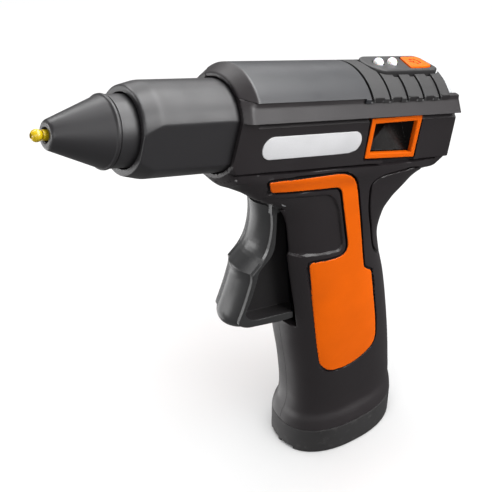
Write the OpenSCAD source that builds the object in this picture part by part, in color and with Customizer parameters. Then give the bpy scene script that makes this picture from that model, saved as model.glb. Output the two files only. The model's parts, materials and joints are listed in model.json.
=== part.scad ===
// Cordless glue gun, standing on its foot with the barrel pitched nose-up.
// Origin: centre of the foot's lower face. +X points to the nozzle side, +Y to the gun's left, +Z up.
// Shapes on the barrel are drawn in the barrel's own frame: x runs forward along the glue stick,
// with 0 at the body's mouth, and z is square to it.

/* [Barrel] */
// Nose-up angle of the barrel
barrel_pitch = 15.15; // [15:0.05:15.3]
// Distance of the body's mouth ahead of the foot's centre
mouth_x = 57.5; // [57.3:0.1:57.7]
// Height of the body's mouth above the floor
mouth_z = 161.1; // [161:0.1:161.3]
// Radius of the round top of the body
body_r = 19.9; // [19.7:0.1:20.1]
// Half-width of the body across its side flats
body_side = 14.8; // [14.7:0.1:15]
// Half-width of the body across its shoulder rails
rail_side = 16.8; // [16.6:0.1:17]
// Height of the shelf on which the top cover sits
shelf_z = 13.4; // [13.3:0.1:13.5]
// Wall thickness of the body
wall = 2.2; // [2:0.1:2.3]

/* [Nozzle and collar] */
// Length of the collar ahead of the mouth
collar_len = 33.2; // [33:0.1:33.5]
// Radius of the collar
collar_r = 14.9; // [14.7:0.1:15]
// Half-width of the collar across its side flats
collar_side = 13; // [12.9:0.1:13.1]
// Largest radius of the nozzle cone
cone_r = 11.1; // [11:0.05:11.2]
// Distance of the cone's small end from the mouth
cone_end = 57.9; // [57.5:0.1:58.5]
// Distance of the tip's end from the mouth
tip_end = 62.4; // [62:0.1:63]

/* [Glue stick and feed] */
// Radius of the glue stick
stick_r = 3.5; // [3.45:0.05:3.6]
// Length of the glue stick inside the gun
stick_len = 96; // [80:1:98]
// Full pull of the trigger in degrees
trigger_pull = 16; // [12:1:16]
// Height of the feed carriage's side pins above the stick's axis
trunnion_z = -3; // [-3.2:0.1:-2.8]

/* [Grip] */
// Radius of the battery cell
cell_r = 9.25; // [9:0.05:9.3]
// Length of the battery cell
cell_len = 65; // [64:0.5:65]
// Half-length of the foot
foot_a = 26.9; // [26.7:0.1:27.1]
// Half-width of the foot
foot_b = 18.1; // [18:0.1:18.3]
// Height of the foot cap
foot_h = 12.6; // [12.4:0.1:12.8]
// Half-width of the trigger
trigger_side = 8; // [7.8:0.1:8.1]

/* [Hidden] */
$fn = 64;
// Running gap between pieces that move past each other
gap = 0.3;
// Thin joint line between fixed pieces
seam = 0.1;
// Half-width of the body above its shoulder rails
rail_top_side = 14.2;
rear_x = -89.5;
cap_end_x = -99.4;
inlet_r = 3.9;
pivot = [36.5, 0, 131];
// Lower end of the trigger's slot in the grip
slot_floor = 68.6;
pin_r = 2;
// Carriage pins at rest, behind the pivot by half the trigger's swing
pivot_in_barrel = [
    (pivot[0] - mouth_x) * cos(barrel_pitch) + (pivot[2] - mouth_z) * sin(barrel_pitch),
    0,
    -(pivot[0] - mouth_x) * sin(barrel_pitch) + (pivot[2] - mouth_z) * cos(barrel_pitch)
];
arm_rise = trunnion_z - pivot_in_barrel[2];
trunnion_x = pivot_in_barrel[0] - arm_rise * tan(trigger_pull / 2);
trunnion_r = 1.5;
// Slot in each trigger arm: its radius, the half-length between its round ends and its centre's rise
slot_r = trunnion_r + gap / 2;
slot_half = 0.8;
slot_rise = arm_rise / cos(trigger_pull / 2);
panel_top = 20.1;
panel_side = 6.5;
panel_front = -58.6;
// Height of the power button above the panel
button_rise = 0.4;
// Places of the grooves across the cover's rear part
groove_xs = [-52, -60.2, -68.3, -76.1, -84];
board_z = 12.6;
board_t = 1.6;
// Charging contacts and the foot's notches round them
contact_y = 4;
notch_half = 3.2;
led_xs = [-65, -71.5];
led_r = 1.8;
// Screw axes through the two housing halves, as x and z
screw_axes = [[50, 142.5], [8.5, 106], [-20.5, 128], [16, 27], [21, 51]];
foot_screw_xs = [-23.2, 20];
foot_centre = 0.8;
dark = [0.20, 0.20, 0.215];
orange = [0.91, 0.45, 0.0];
steel = [0.72, 0.73, 0.75];

// Level sections of the grip: height, rear edge, front edge, half-width, squareness
GRIP = [
    [foot_h + seam, -26.1, 27.7, 18.1, 2.3],
    [16.5, -25.7, 26.9, 16.6, 2.4],
    [20.5, -24.8, 25.2, 14.8, 2.6],
    [26, -24, 24.4, 14.3, 2.8],
    [40, -22.3, 25.5, 14.4, 2.8],
    [60, -19.2, 28.6, 14.5, 2.8],
    [78, -15.7, 31.1, 14.5, 2.8],
    [92, -11.6, 33, 14.5, 3],
    [102, -9.6, 34, 14.5, 3.4],
    [110, -11.2, 34.6, 14.5, 3.8],
    [115, -15, 35, 14.5, 4.2],
    [120, -22, 35.8, 14.5, 4.6],
    [126, -26, 38.5, 14.5, 5],
    [131, -25, 44.5, 14.5, 5],
    [137, -21, 51, 14.2, 5],
    [141.5, -18, 54.5, 13.9, 5],
    [147, -12, 52, 13.6, 5]
];

// ---------- placing helpers ----------

module in_barrel() {
    translate([mouth_x, 0, mouth_z]) rotate([0, -barrel_pitch, 0]) children();
}

// A point of the barrel's frame, in the gun's frame
function from_barrel(x, y, z) = [
    mouth_x + x * cos(barrel_pitch) - z * sin(barrel_pitch),
    y,
    mouth_z + x * sin(barrel_pitch) + z * cos(barrel_pitch)
];

// Cylinder or cone along x
module rod(x0, x1, r0, r1 = -1) {
    translate([x0, 0, 0]) rotate([0, 90, 0]) cylinder(h = x1 - x0, r1 = r0, r2 = r1 < 0 ? r0 : r1);
}

// Solid of revolution about x, from points of radius and x
module turned(points) {
    rotate([0, 90, 0]) rotate_extrude() polygon(points);
}

// Cylinder along y at a point of x and z
module cross_rod(x, z, y0, y1, r) {
    translate([x, y0, z]) rotate([-90, 0, 0]) cylinder(h = y1 - y0, r = r);
}

// Outline in x and z, given a thickness along y
module side_plate(y0, y1) {
    translate([0, y1, 0]) rotate([90, 0, 0]) linear_extrude(height = y1 - y0) children();
}

// Outline in y and z, drawn out along x
module run_along(x0, x1) {
    translate([x0, 0, 0]) rotate([90, 0, 90]) linear_extrude(height = x1 - x0) children();
}

module square_between(from, to) {
    translate(from) square(to - from);
}

module box(from, to) {
    translate(from) cube(to - from);
}

module mirror_left_right() {
    mirror([0, 1, 0]) children();
}

// Direction of a path of points at point i, in x and z
function path_angle(points, i) =
    let (a = points[max(i - 1, 0)], b = points[min(i + 1, len(points) - 1)])
    atan2(b[2] - a[2], b[0] - a[0]);

// Round wire along a path of points that bends only in x and z
module wire(points, r) {
    sides = 10;
    n = len(points);
    skin_points = [
        for (i = [0 : n - 1]) for (j = [0 : sides - 1])
            let (t = path_angle(points, i) + 90, q = 360 * j / sides)
            points[i] + [r * cos(q) * cos(t), r * sin(q), r * cos(q) * sin(t)]
    ];
    skin = [
        for (i = [0 : n - 2]) for (j = [0 : sides - 1])
            let (a = sides * i + j, b = sides * i + (j + 1) % sides)
            each [[a, a + sides, b], [b, a + sides, b + sides]]
    ];
    ends = [[for (j = [0 : sides - 1]) j], [for (j = [0 : sides - 1]) sides * n - 1 - j]];
    polyhedron(points = skin_points, faces = concat(skin, ends), convexity = 6);
}

// ---------- grip ----------

SIDES = 28;

// One point of a rounded level section
function ring_point(s, i, inset) =
    let (
        t = 360 * i / SIDES,
        a = (s[2] - s[1]) / 2 - inset,
        b = s[3] - inset,
        c = cos(t),
        q = sin(t),
        k = 2 / s[4]
    )
    [(s[1] + s[2]) / 2 + a * sign(c) * pow(abs(c), k), b * sign(q) * pow(abs(q), k), s[0]];

// Closed skin through the grip's level sections, drawn in by inset
module grip_solid(inset = 0) {
    rows = len(GRIP);
    points = [for (s = GRIP) for (i = [0 : SIDES - 1]) ring_point(s, i, inset)];
    sides = [
        for (j = [0 : rows - 2]) for (i = [0 : SIDES - 1])
            let (a = j * SIDES + i, b = j * SIDES + (i + 1) % SIDES)
            each [[a, a + SIDES, b], [b, a + SIDES, b + SIDES]]
    ];
    bottom = [[for (i = [0 : SIDES - 1]) i]];
    top = [[for (i = [0 : SIDES - 1]) rows * SIDES - 1 - i]];
    polyhedron(points = points, faces = concat(sides, bottom, top), convexity = 4);
}

// ---------- barrel body ----------

// Cross-section of the body's lower part, with side flats and shoulder rails
module lower_section(inset) {
    side = body_side - inset;
    rail = rail_side - inset;
    ledge = rail_top_side - inset;
    low = 7.6 + inset / 4;
    high = 11.9 + inset / 4;
    polygon([
        [-side, -body_r], [side, -body_r], [side, 7], [rail, low], [ledge, high], [ledge, shelf_z],
        [-ledge, shelf_z], [-ledge, high], [-rail, low], [-side, 7]
    ]);
}

// Body of the barrel below the shelf, as a solid
module barrel_lower(inset = 0) {
    front = inset > 0 ? -wall : 0;
    rear = inset > 0 ? -120 : 0;
    intersection() {
        turned([
            [0, front], [16.6 - inset, front], [body_r - inset, -4.6], [body_r - inset, -120], [0, -120]
        ]);
        run_along(-120, 0) lower_section(inset);
        side_plate(-body_r, body_r) polygon([
            [0, shelf_z], [0, -body_r], [-80 + rear, -body_r], [-94 + rear, -14.5],
            [-98.2 + rear, -10.6], [-94.8 + rear, shelf_z]
        ]);
    }
}

module mouth_opening() {
    intersection() {
        rod(-wall - 1, 1, 15.3);
        box([-wall - 1, -collar_side - gap, -16], [1, collar_side + gap, 16]);
    }
}

// ---------- outlines shared by a pocket and the piece in it ----------

// Orange inlay: an arm along the barrel, a strut down the grip and a broad blade
module inlay_outline() {
    offset(r = 1.6) offset(delta = -1.6) offset(r = -1.2) offset(delta = 1.2) polygon([
        [45.4, 143], [43.8, 138], [16.1, 129.8], [11.6, 113], [10.9, 105.8], [15, 99], [26.1, 100.5],
        [18.7, 50.7], [15, 44.5], [9, 43.6], [-9.3, 52], [-9.6, 58], [-3.8, 84.8], [0.3, 89.4],
        [7.1, 121.7], [8, 129.5], [12.5, 134]
    ]);
}

// Sight window, leaning back a little towards its lower edge
module window_outline(grow) {
    offset(delta = grow) polygon([[-53.8, 6.8], [-78.4, 7.2], [-80.4, -9.9], [-55.5, -9]]);
}

// Rounded plateau that carries the lamps and the button, rounder at its front
module panel_outline(grow) {
    offset(r = 5.5 + grow) square_between([-84, 5.5 - panel_side], [panel_front - 5.5, panel_side - 5.5]);
    offset(r = 3 + grow) square_between([-86.5, 3 - panel_side], [-70, panel_side - 3]);
}

module button_outline(grow) {
    offset(r = 0.8 + grow) polygon([[-77.4, 3.8], [-84, 3.9], [-86.8, 2.9], [-87, -3.7], [-79.3, -3.7]]);
}

// Saddle between thumb and palm
module web_outline(grow) {
    offset(delta = grow) polygon([
        [-40, 125.2], [-19.6, 125.4], [-3.8, 127.7], [0.6, 125.9], [1.2, 119.3], [0.7, 113.4],
        [-2, 103], [-4.2, 94.7], [-6.5, 91], [-9.8, 88.3], [-40, 88.3]
    ]);
}

// ---------- housing ----------

module housing_outer() {
    in_barrel() barrel_lower();
    intersection() {
        grip_solid();
        below_shelf();
    }
}

// Everything more than a joint's width below the round of the body
module under_barrel() {
    in_barrel() difference() {
        box([-110, -30, -60], [0, 30, 10]);
        rod(-120, 1, body_r + 0.15);
    }
}

// Everything under the shelf and behind the mouth's chamfer
module below_shelf() {
    in_barrel() box([-130, -40, -160], [-3.2, 40, shelf_z - 1]);
}

// Outline of the grip in x and z, as a share of its depth, between two of its level sections
function grip_profile(share, first, last) = concat(
    [for (i = [first : last]) grip_edge(GRIP[i], 0.5 + share / 2)],
    [for (i = [last : -1 : first]) grip_edge(GRIP[i], 0.5 - share / 2)]
);
function grip_edge(s, k) = [s[1] + (s[2] - s[1]) * k, s[0]];

// Inside of the body and grip: wide in the middle, narrow towards the front and back
module housing_hollow() {
    in_barrel() barrel_lower(wall);
    side_plate(-1, 10.9) polygon(grip_profile(0.62, 2, 15));
    side_plate(-1, 7.2) polygon(grip_profile(0.84, 2, 6));
    translate([0, 0, foot_h - 1]) linear_extrude(height = 10) foot_shape(8);
}

// Round bay for the battery cell and its tabs
module battery_room() {
    at_cell() translate([0, 0, -2]) cylinder(h = cell_len + 4, r = cell_r + gap);
}

// Space that the trigger, its hub and its two arms sweep
module trigger_room() {
    box([20, -trigger_side - 0.5, slot_floor], [70, trigger_side + 0.5, 127.4]);
    cross_rod(pivot[0], pivot[2], -10.4, 10.4, 5);
    in_barrel() box([-40, -10.4, pivot_in_barrel[2]], [-18, 10.4, 0]);
}

module housing_pockets() {
    side_plate(12.5, 30) offset(delta = 0.5) inlay_outline();
    in_barrel() side_plate(8, 30) window_outline(0.25);
    intersection() {
        side_plate(-1, 30) web_outline(0.2);
        under_barrel();
    }
    // Palm recess between the inlay's arm and blade
    side_plate(13.7, 30) offset(r = 2) polygon([
        [33, 128.5], [19.6, 125.2], [15.2, 109], [17.4, 105], [30.4, 107.2]
    ]);
}

// Both housing halves carry the same screw posts, trunnion channels and bulkhead
module housing_inside() {
    for (p = screw_axes) cross_rod(p[0], p[1], 0, 13, 4.4);
    cross_rod(pivot[0], pivot[2], 10.4, 13, 4.2);
    in_barrel() {
        for (z = [trunnion_z + 1.75, trunnion_z - 3.25]) box([-38, 10.6, z], [-19, 13, z + 1.5]);
        difference() {
            box([-6.4, 0, -17], [-4.2, 13, 9]);
            rod(-8, 0, 6.6);
        }
    }
}

module housing_half() {
    difference() {
        housing_outer();
        difference() {
            housing_hollow();
            housing_inside();
        }
        battery_room();
        box([-90, -40, -1], [90, seam / 2, 200]);
        trigger_room();
        housing_pockets();
        in_barrel() mouth_opening();
        cross_rod(pivot[0], pivot[2], 9, 12.3, pin_r + 0.02);
    }
}

module housing_left() {
    color(dark) difference() {
        housing_half();
        for (p = screw_axes) cross_rod(p[0], p[1], -1, 10.5, 1.35);
    }
}

module housing_right() {
    color(dark) mirror_left_right() difference() {
        housing_half();
        for (p = screw_axes) {
            cross_rod(p[0], p[1], -1, 20, 1.6);
            cross_rod(p[0], p[1], 9, 20, 3.1);
        }
    }
}

module housing_screws() {
    color(steel) for (p = screw_axes) {
        cross_rod(p[0], p[1], -9, 9.5, 1.3);
        difference() {
            cross_rod(p[0], p[1], -11, -9, 2.8);
            translate([p[0], -10.4, p[1]]) cube([3.2, 1.4, 0.6], center = true);
            translate([p[0], -10.4, p[1]]) cube([0.6, 1.4, 3.2], center = true);
        }
    }
}

module top_cover() {
    color([0.34, 0.34, 0.36]) in_barrel() difference() {
        intersection() {
            turned([
                [0, 0], [16.6, 0], [body_r, -4.6], [body_r, rear_x], [body_r - wall, rear_x],
                [body_r - wall, -5], [16, -wall], [0, -wall]
            ]);
            box([-100, -30, shelf_z + seam], [5, 30, 30]);
        }
        mouth_opening();
        for (x = groove_xs) {
            difference() {
                rod(x - 0.4, x + 0.4, body_r + 1);
                rod(x - 1, x + 1, body_r - 0.6);
            }
        }
        linear_extrude(height = 30) panel_outline(0.15);
    }
}

// ---------- control panel ----------

module control_panel() {
    color([0.30, 0.30, 0.32]) in_barrel() difference() {
        union() {
            translate([0, 0, 15.2]) linear_extrude(height = panel_top - 15.6) panel_outline(0);
            translate([0, 0, panel_top - 0.4]) linear_extrude(height = 0.4) panel_outline(-0.3);
        }
        translate([0, 0, 15]) linear_extrude(height = 3.4) panel_outline(-1.6);
        for (x = led_xs) translate([x, 0, 15]) cylinder(h = 9, r = led_r + 0.05);
        translate([0, 0, 15]) linear_extrude(height = 9) button_outline(0.3);
    }
}

module led(x) {
    color([0.92, 0.93, 0.95]) in_barrel() translate([x, 0, 0]) {
        translate([0, 0, 17]) cylinder(h = panel_top - 17, r = led_r);
        translate([0, 0, panel_top]) intersection() {
            sphere(r = led_r);
            translate([-5, -5, 0]) cube(10);
        }
        translate([0, 0, 17]) cylinder(h = 1.2, r = 2.3);
        for (y = [-1.27, 1.27]) translate([0, y, board_z + board_t]) cylinder(h = 2.9, r = 0.25, $fn = 16);
    }
}

module led_front() {
    led(led_xs[0]);
}

module led_rear() {
    led(led_xs[1]);
}

module power_button() {
    color(orange) in_barrel() {
        translate([0, 0, 18.2]) linear_extrude(height = panel_top + button_rise - 18.2) button_outline(0);
        translate([0, 0, 17]) linear_extrude(height = 1.2) intersection() {
            button_outline(0.9);
            panel_outline(-1.9);
        }
        translate([-82.5, 0, 16.9]) cylinder(h = 2, r = 2);
    }
}

module power_switch() {
    color([0.15, 0.15, 0.16]) in_barrel() {
        box([-85.5, -3, board_z + board_t], [-79.5, 3, 15.6]);
        translate([-82.5, 0, 15.6]) cylinder(h = 0.5, r = 1.7);
    }
}

module circuit_board() {
    color([0.08, 0.35, 0.18]) in_barrel() difference() {
        box([-88, -8.8, board_z], [-57.5, 8.8, board_z + board_t]);
        for (y = [-6.6, 6.6]) translate([-60.5, y, 10]) cylinder(h = 8, r = 1.1);
    }
}

module board_screws() {
    color(steel) in_barrel() for (y = [-6.6, 6.6]) {
        translate([-60.5, y, board_z + board_t]) cylinder(h = 1, r = 1.7);
        translate([-60.5, y, board_z - 3]) cylinder(h = 3 + board_t, r = 1.05);
    }
}

// ---------- nozzle, heater and feed ----------

module front_collar() {
    color([0.27, 0.27, 0.285]) in_barrel() difference() {
        union() {
            intersection() {
                turned([
                    [0, collar_len], [13.6, collar_len], [collar_r, 27.5], [collar_r, -2.9], [0, -2.9]
                ]);
                box([-5, -collar_side, -20], [collar_len + 1, collar_side, 20]);
            }
            // Lip that holds the collar behind the mouth's edge
            intersection() {
                turned([[0, -2.8], [collar_r, -2.8], [collar_r, -3.3], [15.7, -3.3], [15.7, -4.1], [0, -4.1]]);
                box([-5, -12.2, -20], [5, 12.2, 20]);
            }
        }
        intersection() {
            rod(-5, 29.6, 13.1);
            box([-6, 1.1 - collar_side, -20], [30, collar_side - 1.1, 20]);
        }
        rod(29, collar_len + 1, 11.4);
    }
}

module nozzle_cone() {
    color([0.25, 0.25, 0.265]) in_barrel() turned([
        [cone_r - 1.8, 24], [11, 24], [11.8, 26], [11.8, 29.4], [11, 29.4], [11, 39.2], [cone_r + 0.2, 39.3],
        [cone_r + 0.2, 40.2], [cone_r - 0.3, 40.4], [4.4, cone_end - 0.4], [3.8, cone_end], [2.2, cone_end],
        [2.2, 55], [cone_r - 2.4, 39], [cone_r - 1.8, 36]
    ]);
}

module nozzle_tip() {
    color([0.85, 0.78, 0.05]) in_barrel() difference() {
        union() {
            rod(46, 54, 2.45);
            rod(54, tip_end - 2, 1.6);
            translate([tip_end - 1.9, 0, 0]) sphere(r = 1.9);
        }
        rod(45, tip_end + 1, 0.75);
    }
}

module melt_chamber() {
    color([0.8, 0.8, 0.82]) in_barrel() difference() {
        union() {
            rod(6, 34, 6.8);
            rod(34, 50, 6.8, 3.4);
            box([6.5, -5, 0], [24, 5, 7.6]);
        }
        rod(5, 30, 3.75);
        rod(29.99, 42, 3.75, 1.2);
        rod(41.9, 46.1, 1.2);
        rod(46, 51, 2.5);
    }
}

module heater_element() {
    color([0.93, 0.92, 0.88]) in_barrel() box([7.5, -4.5, 7.65], [23.5, 4.5, 9.6]);
}

module heater_clamp() {
    color(steel) in_barrel() {
        difference() {
            rod(12, 20, 7.6);
            rod(11, 21, 6.9);
            box([11, -10, 0], [21, 10, 10]);
        }
        for (y = [-7.6, 6.9]) box([12, y, 0], [20, y + 0.7, 9.7]);
        box([12, -7.6, 9.7], [20, 7.6, 10.3]);
    }
}

module feed_sleeve() {
    color([0.75, 0.2, 0.15]) in_barrel() turned([
        [3.8, 5.9], [6.4, 5.9], [6.4, -6.5], [9, -6.5], [9, -8], [3.8, -8]
    ]);
}

module heater_leads() {
    color([0.8, 0.1, 0.1]) in_barrel() for (y = [-3, 3]) {
        wire([[-57.3, y, 12], [-50, y, 10.9], [1, y, 10.9], [7.1, y, 8.7]], 0.7);
    }
}

module glue_stick() {
    color([0.93, 0.9, 0.82]) in_barrel() rod(7 - stick_len, 7, stick_r);
}

// Block around the stick with side pins, and a pocket ahead for the clamp
module feed_carriage() {
    color([0.85, 0.85, 0.8]) in_barrel() {
        difference() {
            box([trunnion_x - 3.5, -7.6, -9.5], [trunnion_x + 9.5, 7.6, 7]);
            box([trunnion_x + 3.5, -6.2, -10], [trunnion_x + 8, 6.2, 8]);
            rod(trunnion_x - 4, trunnion_x + 12, 4);
            cross_rod(trunnion_x + 5, -8, -9, 9, 0.92);
        }
        for (side = [-1, 1]) {
            cross_rod(trunnion_x, trunnion_z, side > 0 ? 7.5 : -12.2, side > 0 ? 12.2 : -7.5, trunnion_r);
        }
    }
}

// Plate that tilts and bites the stick
module stick_clamp() {
    color(steel) in_barrel() difference() {
        box([trunnion_x + 4, -5.9, -9.4], [trunnion_x + 6, 5.9, 6.6]);
        rod(trunnion_x, trunnion_x + 10, 3.9);
        cross_rod(trunnion_x + 5, -8, -9, 9, 0.95);
    }
}

module clamp_pin() {
    color(steel) in_barrel() cross_rod(trunnion_x + 5, -8, -7.6, 7.6, 0.9);
}

SPRING_STEPS = 14;
SPRING_TURNS = 5;

// Helical spring of round wire along x, as rings of six corners joined in order
module return_spring() {
    coil = 5.3;
    bar = 0.45;
    x0 = trunnion_x + 9.5 + bar + 0.05;
    x1 = -8 - bar - 0.05;
    n = SPRING_STEPS * SPRING_TURNS;
    points = [
        for (i = [0 : n]) for (j = [0 : 5])
            let (t = 360 * i / SPRING_STEPS, q = 60 * j, r = coil + bar * cos(q))
            [x0 + (x1 - x0) * i / n + bar * sin(q), r * cos(t), r * sin(t)]
    ];
    skin = [
        for (i = [0 : n - 1]) for (j = [0 : 5])
            let (a = 6 * i + j, b = 6 * i + (j + 1) % 6)
            each [[a, b, a + 6], [b, b + 6, a + 6]]
    ];
    ends = [[5, 4, 3, 2, 1, 0], [for (j = [0 : 5]) 6 * n + j]];
    color(steel) in_barrel() polyhedron(points = points, faces = concat(skin, ends), convexity = 8);
}

// ---------- trigger ----------

module trigger_outline(inset) {
    offset(r = 1.5) offset(delta = -1.5 - inset) polygon([
        [35.2, 127.4], [41.8, 126.9], [42.6, 122], [42.4, 116.5], [44, 111.5], [49.6, 102.6], [50.1, 100],
        [53.2, 93.5], [55.4, 87.5], [55.4, 82], [52.4, 77.8], [44, 73.8], [33, 71], [25, 69.8], [26.5, 84],
        [28, 104], [29.5, 122]
    ]);
}

module trigger_arm() {
    in_barrel() difference() {
        translate(pivot_in_barrel) rotate([0, -trigger_pull / 2, 0]) box([-3, 7.9, 0], [3, 9.9, arm_rise + 4.2]);
        translate(pivot_in_barrel) rotate([0, -trigger_pull / 2, 0]) translate([0, 0, slot_rise]) {
            for (dz = [-slot_half, slot_half]) cross_rod(0, dz, 7, 11, slot_r);
            box([-slot_r, 7, -slot_half], [slot_r, 11, slot_half]);
        }
    }
}

module trigger() {
    color([0.36, 0.36, 0.38]) difference() {
        union() {
            difference() {
                union() {
                    side_plate(-trigger_side, trigger_side) trigger_outline(2);
                    side_plate(3 - trigger_side, trigger_side - 3) trigger_outline(0.3);
                }
                // Side pockets, open at the back, that leave a front rim, a floor and a centre web
                for (side = [0, 1]) mirror([0, side, 0]) side_plate(2, 12) offset(r = 1) polygon([
                    [20, 119], [35.6, 119], [36.4, 113], [42.6, 101.6], [47.6, 86.5], [48.2, 81], [46, 79.2], [20, 74.6]
                ]);
            }
            cross_rod(pivot[0], pivot[2], -9.9, 9.9, 4.2);
            side_plate(-trigger_side, trigger_side) polygon([[34.6, 130], [39.4, 130], [39.4, 124], [34.6, 124]]);
            for (side = [0, 1]) mirror([0, side, 0]) trigger_arm();
        }
        cross_rod(pivot[0], pivot[2], -12, 12, pin_r + 0.05);
    }
}

module trigger_pin() {
    color(steel) cross_rod(pivot[0], pivot[2], -12.2, 12.2, pin_r);
}

// ---------- rear cap ----------

module rear_cap() {
    color([0.62, 0.63, 0.64]) in_barrel() intersection() {
        turned([
            [inlet_r, -90.5], [body_r - wall - 0.3, -90.5], [body_r - wall - 0.3, -92.5], [16.2, -95.5],
            [12.2, -98.4], [8, cap_end_x], [inlet_r, cap_end_x]
        ]);
        box([-105, -12.3, -12.4], [-90, 12.3, 20]);
    }
}

// ---------- side trims ----------

module grip_inlay_left() {
    color(orange) intersection() {
        side_plate(12.6, 30) inlay_outline();
        union() {
            grip_solid(-0.25);
            in_barrel() box([-75, 0, -19], [-8, 14.1, -10]);
        }
    }
}

module grip_inlay_right() {
    mirror_left_right() grip_inlay_left();
}

module window_bezel_left() {
    color(orange) in_barrel() difference() {
        side_plate(13.2, body_side + 0.3) window_outline(-0.5);
        side_plate(10, 20) window_outline(-2.4);
    }
}

module window_bezel_right() {
    mirror_left_right() window_bezel_left();
}

module window_well_left() {
    color([0.06, 0.06, 0.065]) in_barrel() difference() {
        side_plate(5.8, 13.1) window_outline(-0.2);
        hull() {
            side_plate(13, 13.2) window_outline(-2.4);
            side_plate(7.2, 7.3) window_outline(-6.6);
        }
    }
}

module window_well_right() {
    mirror_left_right() window_well_left();
}

// Blank nameplate ahead of the window, with round ends
module badge_left() {
    color([0.85, 0.85, 0.86]) in_barrel() side_plate(body_side, body_side + 0.3) {
        offset(r = 3.4) square_between([-48.6, -2.5], [-13.4, -1.3]);
    }
}

module badge_right() {
    mirror_left_right() badge_left();
}

module web_pad() {
    color([0.12, 0.12, 0.13]) intersection() {
        difference() {
            side_plate(-30, 30) web_outline(0);
            side_plate(-8.5, 8.5) polygon([[5, 95], [-8.4, 95], [-8.4, 107], [-11, 113], [-11, 130], [5, 130]]);
        }
        grip_solid();
        difference() {
            under_barrel();
            in_barrel() rod(-120, 1, body_r + 0.25);
        }
    }
}

// ---------- battery and foot ----------

cell_tilt = 5;
cell_base = [-9.5, 0, 12.8];

module at_cell() {
    translate(cell_base) rotate([0, cell_tilt, 0]) children();
}

module battery_cell() {
    color([0.15, 0.45, 0.7]) at_cell() cylinder(h = cell_len, r = cell_r);
}

module battery_tabs() {
    color(steel) at_cell() {
        translate([0, 0, cell_len + 0.02]) cylinder(h = 0.4, r = 5);
        translate([0, 0, -0.45]) cylinder(h = 0.4, r = 5);
    }
}

module battery_leads() {
    top = cell_base[2] + cell_len * cos(cell_tilt) + 1.9;
    color([0.7, 0.1, 0.1]) for (y = [-4.6, 4.6]) {
        wire([
            [-3.8, y, top], [-2, y, 86], [1.4, y, 96], [1.4, y, 112], from_barrel(-70, y, -26),
            from_barrel(-72, y, -20), from_barrel(-72, y, board_z - 0.75)
        ], 0.7);
    }
}

module foot_shape(inset) {
    points = [for (i = [0 : 63])
        let (c = cos(360 * i / 64), q = sin(360 * i / 64))
        [foot_centre + (foot_a - inset) * sign(c) * pow(abs(c), 2 / 2.3),
            (foot_b - inset) * sign(q) * pow(abs(q), 2 / 2.3)]
    ];
    polygon(points);
}

module foot_cap() {
    color([0.16, 0.16, 0.17]) difference() {
        union() {
            linear_extrude(height = 0.8) foot_shape(0.8);
            translate([0, 0, 0.8]) linear_extrude(height = foot_h - 0.8) foot_shape(0);
        }
        difference() {
            translate([0, 0, 2.2]) linear_extrude(height = foot_h) foot_shape(2.4);
            for (x = foot_screw_xs) translate([x, 0, 0]) cylinder(h = foot_h, r = 3.6);
        }
        for (x = foot_screw_xs) {
            translate([x, 0, -1]) cylinder(h = foot_h + 3, r = 1.6);
            translate([x, 0, -1]) cylinder(h = 4, r = 3);
        }
        for (y = [-contact_y, contact_y]) box([24, y - notch_half, -1], [40, y + notch_half, 1.6]);
    }
}

module charge_contacts() {
    color(steel) for (y = [-contact_y, contact_y]) box([24.05, y - 1.8, 0.6], [25.4, y + 1.8, 1.5]);
}

module foot_screws() {
    color(steel) for (x = foot_screw_xs) {
        translate([x, 0, 1]) cylinder(h = 1.9, r = 2.7);
        translate([x, 0, 2.9]) cylinder(h = 9, r = 1.5);
    }
}

housing_left();
housing_right();
top_cover();
control_panel();
led_front();
led_rear();
power_button();
power_switch();
circuit_board();
board_screws();
front_collar();
nozzle_cone();
nozzle_tip();
melt_chamber();
heater_element();
heater_clamp();
feed_sleeve();
heater_leads();
glue_stick();
feed_carriage();
stick_clamp();
clamp_pin();
return_spring();
trigger();
trigger_pin();
rear_cap();
grip_inlay_left();
grip_inlay_right();
window_bezel_left();
window_bezel_right();
window_well_left();
window_well_right();
badge_left();
badge_right();
web_pad();
battery_cell();
battery_tabs();
battery_leads();
foot_cap();
charge_contacts();
housing_screws();
foot_screws();
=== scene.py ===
import json
import math

import bmesh
import bpy
import numpy as np
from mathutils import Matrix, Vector

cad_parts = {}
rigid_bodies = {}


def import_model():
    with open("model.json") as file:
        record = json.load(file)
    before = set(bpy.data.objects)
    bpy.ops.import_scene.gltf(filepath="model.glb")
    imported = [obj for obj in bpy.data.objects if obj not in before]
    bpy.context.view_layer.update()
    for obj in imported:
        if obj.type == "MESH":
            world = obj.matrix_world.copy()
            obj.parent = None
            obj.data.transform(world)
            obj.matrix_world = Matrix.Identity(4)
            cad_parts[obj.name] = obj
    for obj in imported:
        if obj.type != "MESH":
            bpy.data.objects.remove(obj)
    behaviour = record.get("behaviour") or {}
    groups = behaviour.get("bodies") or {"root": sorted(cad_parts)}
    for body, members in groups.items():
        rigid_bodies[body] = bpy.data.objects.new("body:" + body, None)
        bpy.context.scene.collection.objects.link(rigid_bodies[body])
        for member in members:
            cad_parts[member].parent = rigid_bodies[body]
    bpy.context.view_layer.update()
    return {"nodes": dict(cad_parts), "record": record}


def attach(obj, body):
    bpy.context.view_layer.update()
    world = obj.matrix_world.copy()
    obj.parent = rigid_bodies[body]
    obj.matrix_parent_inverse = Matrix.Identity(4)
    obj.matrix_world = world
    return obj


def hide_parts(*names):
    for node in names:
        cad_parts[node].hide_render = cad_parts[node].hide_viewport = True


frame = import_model()

# Shapes are worked out in millimetres and written to the meshes in metres.
MM = 0.001

# ---------- the gun's main dimensions, in millimetres ----------

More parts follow.
